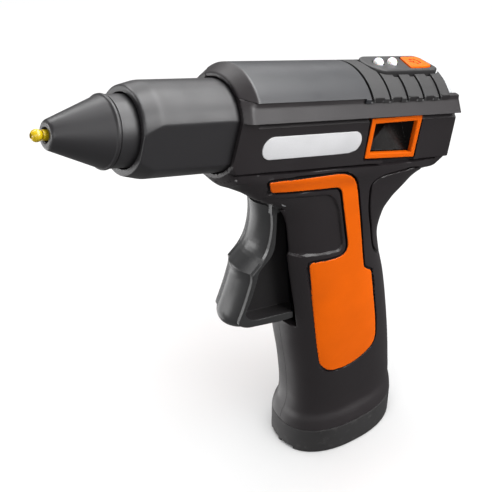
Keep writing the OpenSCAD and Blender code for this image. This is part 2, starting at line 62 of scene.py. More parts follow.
# The barrel has a frame of its own: s runs along its axis from the body's mouth, t square to it.
PITCH = math.radians(15.15)      # nose-up angle of the barrel
MOUTH_X, MOUTH_Z = 57.5, 161.1   # the body's mouth, on the barrel's axis
BODY_R = 19.9                    # round of the body
MOUTH_R, CHAMFER = 16.6, 4.6     # the body's front edge is cut back to this radius over this length
REAR_S, REAR_LEAN = -94.8, math.radians(8.05)    # slanted rear end, where it meets the shelf
UNDER_S, UNDER_T = -98.2, -10.6                  # a point of the chamfer under the rear end
UNDER_LEAN = math.radians(47.15)
PANEL_Y = 14.8                   # side panels
CORE_Y = 13.9                    # the body between and below the panels
RAIL_Y, LEDGE_Y = 16.8, 14.2     # shoulder rails at their lower and upper edges
PANEL_LOW, PANEL_HIGH = -10.5, 7.0
RAIL_LOW, RAIL_HIGH, SHELF = 7.6, 11.9, 13.4
RAIL_FOOT = 6.5                  # the rail's solid reaches down into the panel to here
WALL = 2.2
GRIP_S, GRIP_T = -3.4, 4.0       # the grip's solid is kept behind and below these
NECK_FILLET = 5.0
BORE_Y, BORE_TOP = 12.0, 16.0    # room inside the barrel
COLLAR_R, COLLAR_Y, COLLAR_LEN = 14.9, 13.0, 33.2
COVER_REAR = -89.5
COVER_LOW, RIBS_S, SKIRT = 12.0, -49.2, 0.65     # cover's lower edge, first rib, reach over the ledge
PANEL_SIDE, PANEL_TOP, BUTTON_RISE = 6.5, 20.1, 0.4
PANEL_FRONT, PANEL_SHOULDER = -58.6, -67.0       # front end of the control panel and of its square part
MARK_S, MARK_R, MARK_LINE = -82.6, 1.9, 0.32     # power sign: place, ring radius and half line width
LED_XS, LED_R = (-65.0, -71.5), 1.8
FOOT_A, FOOT_B, FOOT_X, FOOT_H = 26.9, 18.1, 0.8, 12.6
CONTACT_Y, NOTCH_HALF = 4.0, 3.2                 # charging contacts at the foot's front edge
FOOT_SCREW_XS = (-23.2, 20.0)
PIVOT_X, PIVOT_Z = 36.5, 131.0
HUB_R, HUB_Y, PIN_R = 4.2, 9.9, 2.05             # the trigger's hub on its pin
TRIGGER_Y, RIM_Y, CROWN = 8.0, 6.5, 0.072        # its half-width, where its rim starts, its roundness
ARM_LEAN, ARM_LEN = math.radians(8), 24.7        # arm from the hub up to the feed carriage
ARM_SLOT, ARM_SLOT_R = 20.77, 1.65
SLOT_Y, SLOT_FLOOR, SLOT_TOP = 8.5, 68.6, 127.4  # slot of the housing that the trigger moves in
SLOT_REAR, SLOT_FRONT = 20.0, 70.0
SEAM = 0.1
BADGE_S, BADGE_T, BADGE_HALF, BADGE_R = -31.0, -1.9, 17.0, 4.0
SCREWS = [(50, 142.5), (8.5, 106), (-20.5, 128), (16, 27), (21, 51)]
GROOVES = (-52.0, -60.2, -68.3, -76.1, -84.0)

# Level sections of the grip: height, rear edge, front edge, half-width, squareness
GRIP = np.array([
    (12.7, -26.1, 27.7, 18.1, 2.3), (16.5, -25.7, 26.9, 16.6, 2.4), (20.5, -24.8, 25.2, 14.8, 2.6),
    (26, -24, 24.4, 14.3, 2.8), (40, -22.3, 25.5, 14.4, 2.8), (60, -19.2, 28.6, 14.5, 2.8),
    (78, -15.7, 31.1, 14.5, 2.8), (92, -11.6, 33, 14.5, 3), (102, -9.6, 34, 14.5, 3.4),
    (110, -11.2, 34.6, 14.5, 3.8), (115, -15, 35, 14.5, 4.2), (120, -22, 35.8, 14.5, 4.6),
    (126, -26, 38.5, 14.5, 5), (131, -25, 44.5, 14.5, 5), (137, -21, 51, 14.2, 5),
    (141.5, -18, 54.5, 13.9, 5), (147, -12, 52, 13.6, 5),
])

# Outlines in x and z, seen from the gun's left: each point has the length of its rounded corner
INLAY = [
    (45.4, 143, 0.8), (43.6, 137.7, 0.9), (14.8, 130, 3), (9, 98.2, 7), (26.4, 101.2, 1.6),
    (19.1, 48.6, 4), (14.8, 43, 3), (3, 42, 7), (-8.4, 47.4, 5), (-7.5, 59.4, 4),
    (-3.1, 85.5, 1.6), (1.2, 88.8, 2), (8.8, 134.4, 9),
]
PALM = [(46, 135.5, 2), (19, 128.2, 4), (15.6, 122, 8), (12, 101.6, 4), (46, 109, 2)]
WEB = [
    (-40, 126.5, 0), (-19.6, 125.9, 6), (-3.8, 127.7, 3), (0.8, 126, 3), (1.0, 116, 8), (-4.2, 94.7, 8),
    (-9.8, 88.3, 2), (-40, 88.3, 0),
]
TRIGGER = [
    (30, 129, 1), (42.6, 129, 0.6), (41.4, 117.5, 12), (43.6, 107.8, 9), (50.6, 102.2, 0.8),
    (50.0, 98.8, 1.4), (52.4, 91, 9), (56.8, 80.4, 5), (51.6, 75.4, 4), (33, 70.6, 6), (25, 69.8, 1.5),
    (26.5, 84, 4), (29.5, 122, 4),
]
POCKET = [
    (20, 125.6, 0), (37, 125.4, 2), (37.1, 116.6, 8), (37.7, 107.1, 4), (44.3, 101.5, 1.5),
    (45, 98.4, 1.5), (47.4, 90.6, 7), (50.6, 84.4, 3), (47.2, 80.4, 3), (20, 74.6, 0),
]
# The window and the button are drawn in the barrel's frame, the button from above (s, y)
WINDOW = [(-53.8, 6.8, 0.8), (-78.4, 7.2, 0.8), (-80.4, -9.9, 0.8), (-55.5, -9, 0.8)]
BUTTON = [(-76.3, 4.6), (-84.2, 4.7), (-87.6, 3.5), (-87.8, -4.5), (-79.3, -4.5)]

# Rooms inside the grip: the share of its depth that each fills, its half-width and its top
CELL_ROOM = (0.62, 10.9, 136)
DEEP_ROOM = (0.84, 7.2, 84)
ROOM_FLOOR = 5

CREASE = math.radians(28)        # faces that turn by more than this keep a crease between them
SHARP = math.radians(32)


# ---------- fields: signed distances, negative inside ----------

def to_barrel(x, z):
    """x and z of a point in the barrel's own frame: s along the glue stick, t square to it."""
    c, q = math.cos(PITCH), math.sin(PITCH)
    return (x - MOUTH_X) * c + (z - MOUTH_Z) * q, -(x - MOUTH_X) * q + (z - MOUTH_Z) * c


def from_barrel(s, t):
    c, q = math.cos(PITCH), math.sin(PITCH)
    return MOUTH_X + s * c - t * q, MOUTH_Z + s * q + t * c


def join(a, b, k=0.0):
    """Union of two fields, with a fillet of about k."""
    if k <= 0:
        return np.minimum(a, b)
    h = np.maximum(k - np.abs(a - b), 0) / k
    return np.minimum(a, b) - h * h * k / 4


def meet(a, b, k=0.0):
    """Intersection of two fields, with its edge rounded by about k."""
    return -join(-a, -b, k)


def cut(a, b, k=0.0):
    return meet(a, -b, k)


def slab(v, low, high):
    return np.maximum(low - v, v - high)


def line_field(u, v, start, end):
    """Distance beyond the line from start to end, on its left-hand side."""
    du, dv = end[0] - start[0], end[1] - start[1]
    return ((v - start[1]) * du - (u - start[0]) * dv) / math.hypot(du, dv)


def block(x, y, z, low, high, k=0.0):
    d = meet(slab(x, low[0], high[0]), slab(y, low[1], high[1]), k)
    return meet(d, slab(z, low[2], high[2]), k)


def rounded(profile, steps=6):
    """A closed outline of (u, v, corner length) with each corner turned into a short arc."""
    out = []
    n = len(profile)
    for i, (u, v, corner) in enumerate(profile):
        p = Vector((u, v))
        back, on = Vector(profile[i - 1][:2]) - p, Vector(profile[(i + 1) % n][:2]) - p
        if corner <= 0:
            out.append((u, v))
            continue
        reach = min(corner, back.length * 0.49, on.length * 0.49)
        start, end = p + back.normalized() * reach, p + on.normalized() * reach
        for q in np.linspace(0, 1, steps):
            out.append(tuple((1 - q) ** 2 * start + 2 * q * (1 - q) * p + q * q * end))
    return out


class Outline:
    """Signed distance from a closed outline, looked up on a fine lattice."""
    STEP = 0.16
    MARGIN = 4.0

    def __init__(self, profile):
        ring = np.array(rounded(profile))
        self.low = ring.min(0) - self.MARGIN
        size = np.ceil((ring.max(0) + self.MARGIN - self.low) / self.STEP).astype(int) + 1
        u = (self.low[0] + self.STEP * np.arange(size[0]))[:, None]
        v = (self.low[1] + self.STEP * np.arange(size[1]))[None, :]
        best = np.full((size[0], size[1]), 1e9)
        inside = np.zeros(best.shape, bool)
        for (u0, v0), (u1, v1) in zip(np.roll(ring, 1, 0), ring):
            eu, ev = u1 - u0, v1 - v0
            wu, wv = u - u0, v - v0
            k = np.clip((wu * eu + wv * ev) / max(eu * eu + ev * ev, 1e-12), 0, 1)
            best = np.minimum(best, (wu - eu * k) ** 2 + (wv - ev * k) ** 2)
            inside ^= ((v0 <= v) != (v1 <= v)) & (wu < eu * wv / (ev if ev else 1e-9))
        self.table = np.where(inside, -1, 1) * np.sqrt(best)

    def __call__(self, u, v):
        u, v = np.broadcast_arrays(u, v)
        fu, fv = (u - self.low[0]) / self.STEP, (v - self.low[1]) / self.STEP
        cu, cv = np.clip(fu, 0, self.table.shape[0] - 1.001), np.clip(fv, 0, self.table.shape[1] - 1.001)
        i, j = cu.astype(int), cv.astype(int)
        p, q = cu - i, cv - j
        t = self.table
        lower = t[i, j] * (1 - p) + t[i + 1, j] * p
        upper = t[i, j + 1] * (1 - p) + t[i + 1, j + 1] * p
        return lower * (1 - q) + upper * q + np.hypot(fu - cu, fv - cv) * self.STEP


def smooth_table(z, table):
    """Columns of a table read at z, by a curve that passes through its rows without overshooting."""
    zs = table[:, 0]
    z = np.clip(z, zs[0], zs[-1])
    i = np.clip(np.searchsorted(zs, z, side="right") - 1, 0, len(zs) - 2)
    step = zs[i + 1] - zs[i]
    q = (z - zs[i]) / step
    h00, h10 = (1 + 2 * q) * (1 - q) ** 2, q * (1 - q) ** 2
    h01, h11 = q * q * (3 - 2 * q), q * q * (q - 1)
    out = []
    for col in table.T[1:]:
        slope = np.diff(col) / np.diff(zs)
        both = slope[:-1] * slope[1:] > 0
        mid = np.where(both, 2 * slope[:-1] * slope[1:] / np.where(both, slope[:-1] + slope[1:], 1), 0)
        m = np.concatenate([slope[:1], mid, slope[-1:]])
        out.append(h00 * col[i] + h10 * step * m[i] + h01 * col[i + 1] + h11 * step * m[i + 1])
    return out


def oval(x, y, centre, a, b, n):
    """Distance from a rounded rectangle-like oval of half-axes a and b."""
    px, py = np.abs(x - centre) / a + 1e-6, np.abs(y) / b + 1e-6
    f = px ** n + py ** n
    g = f ** (1 / n)
    slope = np.sqrt((px ** (n - 1) / a) ** 2 + (py ** (n - 1) / b) ** 2) * f ** (1 / n - 1)
    return (g - 1) / slope


INLAY_EDGE, PALM_EDGE, WEB_EDGE = Outline(INLAY), Outline(PALM), Outline(WEB)
TRIGGER_EDGE, POCKET_EDGE, WINDOW_EDGE = Outline(TRIGGER), Outline(POCKET), Outline(WINDOW)


def grip_field(x, y, z, inset=0.0):
    rear, front, half, n = smooth_table(z, GRIP)
    d = oval(x, y, (front + rear) / 2, (front - rear) / 2 - inset, half - inset, n)
    return meet(d, slab(z, FOOT_H + SEAM, GRIP[-1, 0]), 0.4)


def turned_body(s, r):
    """Round of the barrel body with its front chamfer."""
    chamfer = -line_field(s, r, (0, MOUTH_R), (-CHAMFER, BODY_R))
    return meet(meet(r - BODY_R, chamfer, 0.25), s, 0.4)


def rear_limit(s, t):
    """The body's slanted rear end and the chamfer under it."""
    back = (REAR_S - s) * math.cos(REAR_LEAN) + (t - SHELF) * math.sin(REAR_LEAN)
    under = (UNDER_S - s) * math.cos(UNDER_LEAN) + (UNDER_T - t) * math.sin(UNDER_LEAN)
    return meet(back, under, 1.0)


def body_field(s, y, t):
    """Outside of the two housing halves together."""
    x, z = from_barrel(s, t)
    ay = np.abs(y)
    r = np.sqrt(y * y + t * t)
    turned = meet(turned_body(s, r), rear_limit(s, t), 0.4)
    turned = meet(turned, t - SHELF, 0.2)
    core = meet(turned, ay - np.where(t > PANEL_HIGH - 1, LEDGE_Y, CORE_Y), 1.0)
    grip = np.maximum(grip_field(x, y, z), np.maximum(s - GRIP_S, t - GRIP_T))
    d = join(core, grip, NECK_FILLET)
    panel = meet(meet(ay - PANEL_Y, slab(t, PANEL_LOW, PANEL_HIGH + 1), 0.4), turned, 0.3)
    face = line_field(ay, t, (LEDGE_Y, RAIL_HIGH), (RAIL_Y, RAIL_LOW))
    under = line_field(ay, t, (RAIL_Y, RAIL_LOW), (PANEL_Y, PANEL_HIGH))
    rail = meet(meet(meet(face, under, 0.3), slab(t, RAIL_FOOT, RAIL_HIGH), 0.2), turned, 0.3)
    return join(join(d, panel, 0.2), rail, 0.2)


def hollow_field(s, y, t):
    """Inside of the housing: the barrel's bore and the rooms in the grip."""
    x, z = from_barrel(s, t)
    ay = np.abs(y)
    r = np.sqrt(y * y + t * t)
    side = np.where(t > PANEL_HIGH + 0.5, LEDGE_Y - WALL, BORE_Y)
    bore = np.maximum(np.maximum(r - (BODY_R - WALL), ay - side), np.maximum(s + WALL, t - BORE_TOP))
    rear, front = smooth_table(z, GRIP)[:2]
    off = np.abs(x - (front + rear) / 2)
    d = bore
    for share, half, top in (CELL_ROOM, DEEP_ROOM):
        room = np.maximum(off - share * (front - rear) / 2, ay - half)
        d = np.minimum(d, np.maximum(room, slab(z, ROOM_FLOOR, top)))
    return d


def trigger_room(x, y, z):
    """Room in the housing for the trigger and its hub."""
    ay = np.abs(y)
    slot = block(x, y, z, (SLOT_REAR, -SLOT_Y, SLOT_FLOOR), (SLOT_FRONT, SLOT_Y, SLOT_TOP), 0.6)
    hub = np.maximum(np.hypot(x - PIVOT_X, z - PIVOT_Z) - HUB_R - 0.8, ay - HUB_Y - 0.5)
    return np.minimum(slot, hub)


def mouth_field(s, y, t):
    """Opening at the body's front that the collar sits in."""
    r = np.sqrt(y * y + t * t)
    return np.maximum(np.maximum(r - COLLAR_R - 0.4, np.abs(y) - COLLAR_Y - 0.3), slab(s, -WALL - 2, 2))


# ---------- from field to mesh ----------

CORNERS = [(i, j, k) for i in (0, 1) for j in (0, 1) for k in (0, 1)]


def slope_of(field, p, eps=0.03):
    """Value and direction of steepest rise of a field at points."""
    value = field(p[:, 0], p[:, 1], p[:, 2])
    g = np.empty_like(p)
    for i in range(3):
        step = np.zeros(3)
        step[i] = eps
        q = p + step
        g[:, i] = (field(q[:, 0], q[:, 1], q[:, 2]) - value) / eps
    return value, g


def unit(v):
    return v / np.maximum(np.linalg.norm(v, axis=1), 1e-9)[:, None]


def crossings(field, d, inside, origin, cell, axis):
    """Points where grid edges along an axis meet the surface, and its directions there, followed by
    the edges' numbers on the grid, their places and whether each starts inside."""
    first = np.take(inside, range(0, d.shape[axis] - 1), axis)
    second = np.take(inside, range(1, d.shape[axis]), axis)
    edges = np.argwhere(first != second)
    far = edges.copy()
    far[:, axis] += 1
    start, end = np.zeros(len(edges)), np.ones(len(edges))
    fs, fe = d[tuple(edges.T)].astype(float), d[tuple(far.T)].astype(float)
    along = np.zeros(3)
    along[axis] = cell
    base = edges * cell + origin
    for _ in range(3):
        q = start + (end - start) * np.clip(fs / (fs - fe), 0.05, 0.95)
        p = base + q[:, None] * along
        f = field(p[:, 0], p[:, 1], p[:, 2])
        same = (f < 0) == (fs < 0)
        start, fs = np.where(same, q, start), np.where(same, f, fs)
        end, fe = np.where(same, end, q), np.where(same, fe, f)
    p = base + (start + (end - start) * fs / (fs - fe))[:, None] * along
    number = np.full(first.shape, -1, np.int32)
    number[tuple(edges.T)] = np.arange(len(edges))
    return p, unit(slope_of(field, p)[1]), number, edges, first[tuple(edges.T)]


def surface(field, low, high, cell):
    """Vertices and quads of the field's zero surface by dual contouring, which keeps its creases."""
    axes = [np.arange(a - 2 * cell, b + 2.5 * cell, cell) for a, b in zip(low, high)]
    origin = np.array([a[0] for a in axes])
    parts = []
    for chunk in np.array_split(axes[0], max(1, len(axes[0]) // 32)):
        part = field(chunk[:, None, None], axes[1][None, :, None], axes[2][None, None, :])
        parts.append(np.broadcast_to(part, (len(chunk), len(axes[1]), len(axes[2]))))
    d = np.concatenate(parts)
    inside = d < 0
    count = sum(
        inside[i:i + d.shape[0] - 1, j:j + d.shape[1] - 1, k:k + d.shape[2] - 1].astype(np.int8)
        for i, j, k in CORNERS
    )
    cells = np.argwhere((count > 0) & (count < 8))
    index = np.full(count.shape, -1, np.int32)
    index[tuple(cells.T)] = np.arange(len(cells))
    total, hits = np.zeros((len(cells), 3)), np.zeros(len(cells))
    gathered = []
    quads = []
    for axis in range(3):
        points, slopes, number, edges, starts_inside = crossings(field, d, inside, origin, cell, axis)
        for corner in CORNERS:
            if corner[axis]:
                continue
            found = number[tuple((cells + corner).T)]
            hit = np.flatnonzero(found >= 0)
            total[hit] += points[found[hit]]
            hits[hit] += 1
            gathered.append((hit, points[found[hit]], slopes[found[hit]]))
        u, v = (axis + 1) % 3, (axis + 2) % 3
        ok = (edges[:, (u, v)] > 0).all(1) & (edges[:, u] < d.shape[u] - 1) & (edges[:, v] < d.shape[v] - 1)
        edges, starts_inside = edges[ok], starts_inside[ok]
        ring = []
        for du, dv in ((0, 0), (1, 0), (1, 1), (0, 1)):
            e = edges.copy()
            e[:, u] -= du
            e[:, v] -= dv
            ring.append(index[tuple(e.T)])
        ring = np.stack(ring, 1)
        ring[~starts_inside] = ring[~starts_inside][:, ::-1]
        quads.append(ring)
    middle = total / hits[:, None]
    # Each point is drawn to the planes through its crossings, and weakly to the crossings' mean
    a = np.zeros((len(cells), 3, 3)) + np.eye(3) * 0.08
    b = np.zeros((len(cells), 3))
    for hit, p, n in gathered:
        a[hit] += n[:, :, None] * n[:, None, :]
        b[hit] += n * (n * (p - middle[hit])).sum(1)[:, None]
    verts = middle + np.linalg.solve(a, b[:, :, None])[:, :, 0]
    corner = cells * cell + origin
    verts = np.clip(verts, corner + 0.02 * cell, corner + 0.98 * cell)
    value, g = slope_of(field, verts)
    step = -g * (value / np.maximum((g * g).sum(1), 0.5))[:, None]
    size = np.linalg.norm(step, axis=1)
    verts += step * np.minimum(1, 0.15 * cell / np.maximum(size, 1e-9))[:, None]
    return verts, np.concatenate(quads)


def shading(faces, quads):
    """A direction for each face corner: the mean of the faces around its point, but not across creases."""
    corners = quads.ravel()
    owner = np.repeat(np.arange(len(quads)), 4)
    order = np.argsort(corners, kind="stable")
    place_in = np.arange(len(order)) - np.searchsorted(corners[order], corners[order])
    around = np.full((quads.max() + 1, place_in.max() + 1), -1)
    around[corners[order], place_in] = owner[order]
    near = around[corners]
    directions = faces[near]
    own = faces[owner]
    alike = (np.einsum("ijk,ik->ij", directions, own) > math.cos(CREASE)) & (near >= 0)
    return unit((directions * alike[:, :, None]).sum(1) + own * 1e-3)


def moulded(name, field, low, high, cell, body, nodes, materials, where=None, tilted=True):
    """A piece whose surface is a field's zero surface. where picks each face's material, from its
    centre and from how far it faces sideways (0 to 1).

    A tilted piece's field and box are in the barrel's frame."""
    verts, quads = surface(field, low, high, cell)
    centres = verts[quads].mean(1)
    slopes = slope_of(field, centres)[1]
    normals = shading(unit(slopes), quads)
    if tilted:
        verts[:, 0], verts[:, 2] = from_barrel(verts[:, 0], verts[:, 2])
        c, q = math.cos(PITCH), math.sin(PITCH)
        along, up = normals[:, 0], normals[:, 2]
        normals[:, 0], normals[:, 2] = along * c - up * q, along * q + up * c
    mesh = bpy.data.meshes.new(name)
    mesh.from_pydata((verts * MM).tolist(), [], quads.tolist())
    mesh.polygons.foreach_set("use_smooth", [True] * len(mesh.polygons))
    for m in materials:
        mesh.materials.append(m)
    if where is not None:
        picked = where(*centres.T, np.abs(slopes[:, 1]))
        mesh.polygons.foreach_set("material_index", picked.astype(np.int32))
    mesh.normals_split_custom_set(normals.tolist())
    return place(name, mesh, body, nodes)


def place(name, mesh, body, nodes):
    piece = bpy.data.objects.new(name, mesh)
    bpy.context.scene.collection.objects.link(piece)
    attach(piece, body)
    if nodes:
        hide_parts(*nodes)
    return piece


def spun(name, profile, turns, put, body, nodes, material):
    """A piece turned from a closed profile of (radius, along, corner length); put places a point."""
    ring = rounded(profile)
    n = len(ring)
    verts, faces = [], []
    for i in range(turns):
        a = 2 * math.pi * i / turns
        for r, along in ring:
            x, z, y = put(along, r * math.cos(a), r * math.sin(a))
            verts.append((x * MM, y * MM, z * MM))
    for i in range(turns):
        for j in range(n):
            k, m = (i + 1) % turns, (j + 1) % n
            faces.append((i * n + j, i * n + m, k * n + m, k * n + j))
    mesh = bpy.data.meshes.new(name)
    mesh.from_pydata(verts, [], faces)
    tidy_mesh(mesh)
    mesh.materials.append(material)
    mesh.polygons.foreach_set("use_smooth", [True] * len(mesh.polygons))
    mesh.set_sharp_from_angle(angle=SHARP)
    return place(name, mesh, body, nodes)


def tidy_mesh(mesh):
    """Joins doubled points, such as those on the axis, and turns all faces outwards."""
    bm = bmesh.new()
    bm.from_mesh(mesh)
    bmesh.ops.remove_doubles(bm, verts=bm.verts, dist=1e-7)
    bmesh.ops.dissolve_degenerate(bm, edges=bm.edges, dist=1e-7)
    bmesh.ops.recalc_face_normals(bm, faces=bm.faces)
    bm.to_mesh(mesh)
    bm.free()


# ---------- materials ----------

class Nodes:
    """A material's node tree, with short calls to add nodes and links."""

    def __init__(self, name):
        self.material = bpy.data.materials.new(name)
        self.material.use_nodes = True
        self.tree = self.material.node_tree
        self.shader = self.tree.nodes["Principled BSDF"]
        self.at = self.add("ShaderNodeTexCoord").outputs["Object"]

    def add(self, kind, **values):
        node = self.tree.nodes.new(kind)
        for key, value in values.items():
            setattr(node, key, value)
        return node

    def link(self, a, b):
        self.tree.links.new(a, b)

    def noise(self, scale, detail=3.0, rough=0.55, stretch=None):
        """Noise between 0 and 1; scale is its size in millimetres."""
        node = self.add("ShaderNodeTexNoise")
        node.inputs["Scale"].default_value = 1.0 / (scale * MM)
        node.inputs["Detail"].default_value = detail
        node.inputs["Roughness"].default_value = rough
        source = self.at
        if stretch:
            mapping = self.add("ShaderNodeMapping")
            mapping.inputs["Rotation"].default_value = (0, PITCH, 0)
            mapping.inputs["Scale"].default_value = stretch
            self.link(source, mapping.inputs["Vector"])
            source = mapping.outputs["Vector"]
        self.link(source, node.inputs["Vector"])
        return node.outputs["Fac"]

    def ramp(self, value, low, high, out_low=0.0, out_high=1.0):
        node = self.add("ShaderNodeMapRange")
        node.clamp = True
        node.inputs["From Min"].default_value = low
        node.inputs["From Max"].default_value = high
        node.inputs["To Min"].default_value = out_low
        node.inputs["To Max"].default_value = out_high
        self.link(value, node.inputs["Value"])
        return node.outputs["Result"]

    def mix(self, factor, a, b):
        node = self.add("ShaderNodeMix", data_type="RGBA")
        self.link(factor, node.inputs["Factor"])
        for value, socket in ((a, node.inputs[6]), (b, node.inputs[7])):
            if isinstance(value, tuple):
                socket.default_value = (*value[:3], 1)
            else:
                self.link(value, socket)
        return node.outputs[2]

    def bump(self, heights):
        """Bump from a list of (value, strength, height in millimetres)."""
        last = None
        for value, strength, height in heights:
            node = self.add("ShaderNodeBump")
            node.inputs["Strength"].default_value = strength
            node.inputs["Distance"].default_value = height * MM
            self.link(value, node.inputs["Height"])
            if last is not None:
                self.link(last, node.inputs["Normal"])
            last = node.outputs["Normal"]
        self.link(last, self.shader.inputs["Normal"])

    def set(self, **values):
        for key, value in values.items():
            self.shader.inputs[key.replace("_", " ")].default_value = value


def tone(color, factor):
    return tuple(min(1.0, c * factor) for c in color)


def plastic(name, color, rough, grain=0.35, depth=0.02, shine=0.45, coat=0.0):
    """Moulded plastic: spark-eroded grain, faint flow marks, and handled patches that are smoother."""
    m = Nodes(name)
    grain_noise = m.noise(grain, 2.0, 0.7)
    cloud = m.noise(22, 3.0)
    marks = m.noise(1.4, 4.0, 0.6, stretch=(0.25, 1, 1))
    base = m.mix(m.ramp(cloud, 0.3, 0.7), tone(color, 0.93), tone(color, 1.07))
    base = m.mix(m.ramp(grain_noise, 0.35, 0.75, 0.0, 0.16), base, tone(color, 1.5))
    base = m.mix(m.ramp(marks, 0.66, 0.8, 0.0, 0.06), base, tone(color, 1.8))
    m.link(base, m.shader.inputs["Base Color"])
    worn = m.ramp(cloud, 0.4, 0.62, rough + 0.05, rough - 0.06)
    fine = m.ramp(grain_noise, 0.3, 0.7, -0.04, 0.04)
    total = m.add("ShaderNodeMath", operation="ADD")
    m.link(worn, total.inputs[0])
    m.link(fine, total.inputs[1])
    m.link(total.outputs[0], m.shader.inputs["Roughness"])
    m.bump([(cloud, 0.25, 0.06), (grain_noise, 0.55, depth)])
    m.set(IOR=1.48, Specular_IOR_Level=shine)
    if coat:
        m.set(Coat_Weight=coat, Coat_Roughness=0.25)
    return m.material


def metal(name, color, rough):
    """Turned or drawn metal with fine tool marks."""
    m = Nodes(name)
    lines = m.noise(0.5, 3.0, 0.6, stretch=(0.08, 1, 1))
    cloud = m.noise(6, 3.0)
    base = m.mix(m.ramp(cloud, 0.3, 0.7), tone(color, 0.85), tone(color, 1.06))
    m.link(base, m.shader.inputs["Base Color"])
    m.link(m.ramp(lines, 0.3, 0.7, rough - 0.08, rough + 0.1), m.shader.inputs["Roughness"])
    m.bump([(lines, 0.3, 0.015)])
    m.set(Metallic=1.0)
    return m.material


def rubber(name, color, rough=0.72):
    m = Nodes(name)
    pores = m.noise(0.5, 3.0, 0.7)
    cloud = m.noise(12, 3.0)
    dust = m.noise(3.5, 5.0, 0.65)
    base = m.mix(m.ramp(cloud, 0.3, 0.7), tone(color, 0.88), tone(color, 1.12))
    base = m.mix(m.ramp(dust, 0.55, 0.85, 0.0, 0.14), base, (0.30, 0.29, 0.28))
    m.link(base, m.shader.inputs["Base Color"])
    m.link(m.ramp(cloud, 0.3, 0.7, rough - 0.07, rough + 0.06), m.shader.inputs["Roughness"])
    m.bump([(pores, 0.6, 0.03)])
    m.set(IOR=1.45)
    return m.material


def lamp_lens(name):
    """Milky, silvery lamp dome."""
    m = Nodes(name)
    cloud = m.noise(1.2, 2.0)
    base = m.mix(m.ramp(cloud, 0.3, 0.7), (0.78, 0.79, 0.81), (0.92, 0.93, 0.95))
    m.link(base, m.shader.inputs["Base Color"])
    m.link(m.ramp(cloud, 0.3, 0.7, 0.10, 0.2), m.shader.inputs["Roughness"])
    m.set(IOR=1.5, Coat_Weight=0.6, Coat_Roughness=0.05)
    m.set(Subsurface_Weight=0.25, Subsurface_Scale=0.002)
    return m.material


def glue(name):
    m = Nodes(name)
    cloud = m.noise(5, 3.0)
    lines = m.noise(0.8, 2.0, 0.5, stretch=(0.05, 1, 1))
    base = m.mix(m.ramp(cloud, 0.3, 0.7), (0.80, 0.76, 0.64), (0.90, 0.87, 0.78))
    m.link(base, m.shader.inputs["Base Color"])
    m.link(m.ramp(lines, 0.3, 0.7, 0.22, 0.36), m.shader.inputs["Roughness"])
    m.bump([(lines, 0.3, 0.03)])
    m.set(Subsurface_Weight=0.4, Subsurface_Scale=0.003, IOR=1.49)
    return m.material


def board(name):
    """Green lacquer over copper tracks."""
    m = Nodes(name)
    tracks = m.add("ShaderNodeTexBrick")
    tracks.inputs["Scale"].default_value = 1 / (4 * MM)
    tracks.inputs["Mortar Size"].default_value = 0.06
    m.link(m.at, tracks.inputs["Vector"])
    base = m.mix(m.ramp(tracks.outputs["Fac"], 0, 1), (0.02, 0.12, 0.05), (0.04, 0.22, 0.09))
    m.link(base, m.shader.inputs["Base Color"])
    cloud = m.noise(2, 2.0)
    m.link(m.ramp(cloud, 0.3, 0.7, 0.25, 0.4), m.shader.inputs["Roughness"])
    m.bump([(tracks.outputs["Fac"], 0.4, 0.03)])
    return m.material


ORANGE = (0.60, 0.092, 0.0)
MATERIALS = {
    "body_plastic": plastic("body plastic", (0.0105, 0.0082, 0.0092), 0.46),
    "cover_plastic": plastic("cover plastic", (0.019, 0.0195, 0.022), 0.38),
    "collar_plastic": plastic("collar plastic", (0.016, 0.0152, 0.0165), 0.38),
    "trigger_plastic": plastic("trigger plastic", (0.020, 0.020, 0.0205), 0.36),
    "orange_plastic": plastic("orange plastic", ORANGE, 0.42, grain=0.3, depth=0.015, shine=0.15),
    "plate_plastic": plastic("plate plastic", (0.50, 0.50, 0.51), 0.35, depth=0.008),
    # Window tray: its own dark plastic, made near black as painted shade inside the window.
    "well_plastic": plastic("well plastic with painted shade", (0.003, 0.0022, 0.002), 0.22, depth=0.008, shine=0.3),
    "tip_metal": plastic("tip coating", (0.40, 0.28, 0.003), 0.30, depth=0.01, coat=0.3),
    "foot_rubber": rubber("foot rubber", (0.018, 0.017, 0.0175)),
    "lamp_plastic": lamp_lens("lamp lens"),
    "cap_plastic": plastic("cap plastic", (0.36, 0.37, 0.38), 0.3),
    "steel": metal("steel", (0.62, 0.63, 0.65), 0.3),
    "chamber_metal": metal("chamber metal", (0.72, 0.73, 0.75), 0.42),
    "ceramic": plastic("ceramic", (0.82, 0.80, 0.74), 0.6, grain=0.6),
    "silicone": rubber("silicone", (0.45, 0.05, 0.03), 0.5),
    "stick": glue("glue stick"),
    "carriage_plastic": plastic("carriage plastic", (0.62, 0.61, 0.56), 0.42),
    "board": board("circuit board"),
    "cell": plastic("cell wrap", (0.03, 0.16, 0.42), 0.3, grain=0.8, coat=0.3),
    "wire": rubber("wire sleeve", (0.40, 0.02, 0.02), 0.45),
}
MARK = plastic("button mark", (0.42, 0.05, 0.002), 0.5)
# Near-black colour on the walls and floors of grooves, recesses, pockets and gaps: painted shade where
# little light reaches.
RECESS_SHADE = plastic("painted recess shade", (0.006, 0.005, 0.0055), 0.6)
RIB = plastic("ribbed cover plastic", (0.017, 0.0165, 0.017), 0.50)

# Every CAD node that stays in sight wears its slot's material.
for subpart in frame["record"]["subparts"]:
    shown = frame["nodes"][subpart["node"]].data.materials
    shown.clear()
    shown.append(MATERIALS[subpart["material_slot"]])


# ---------- camera, light and floor ----------

# The photo's view, recovered from the round edges of the barrel
CAMERA_AT, CAMERA_LOOK = (0.2116, 0.2450, 0.3289), (-0.4521, -0.6628, -0.5969)
LENS, SENSOR = 77.1, 36

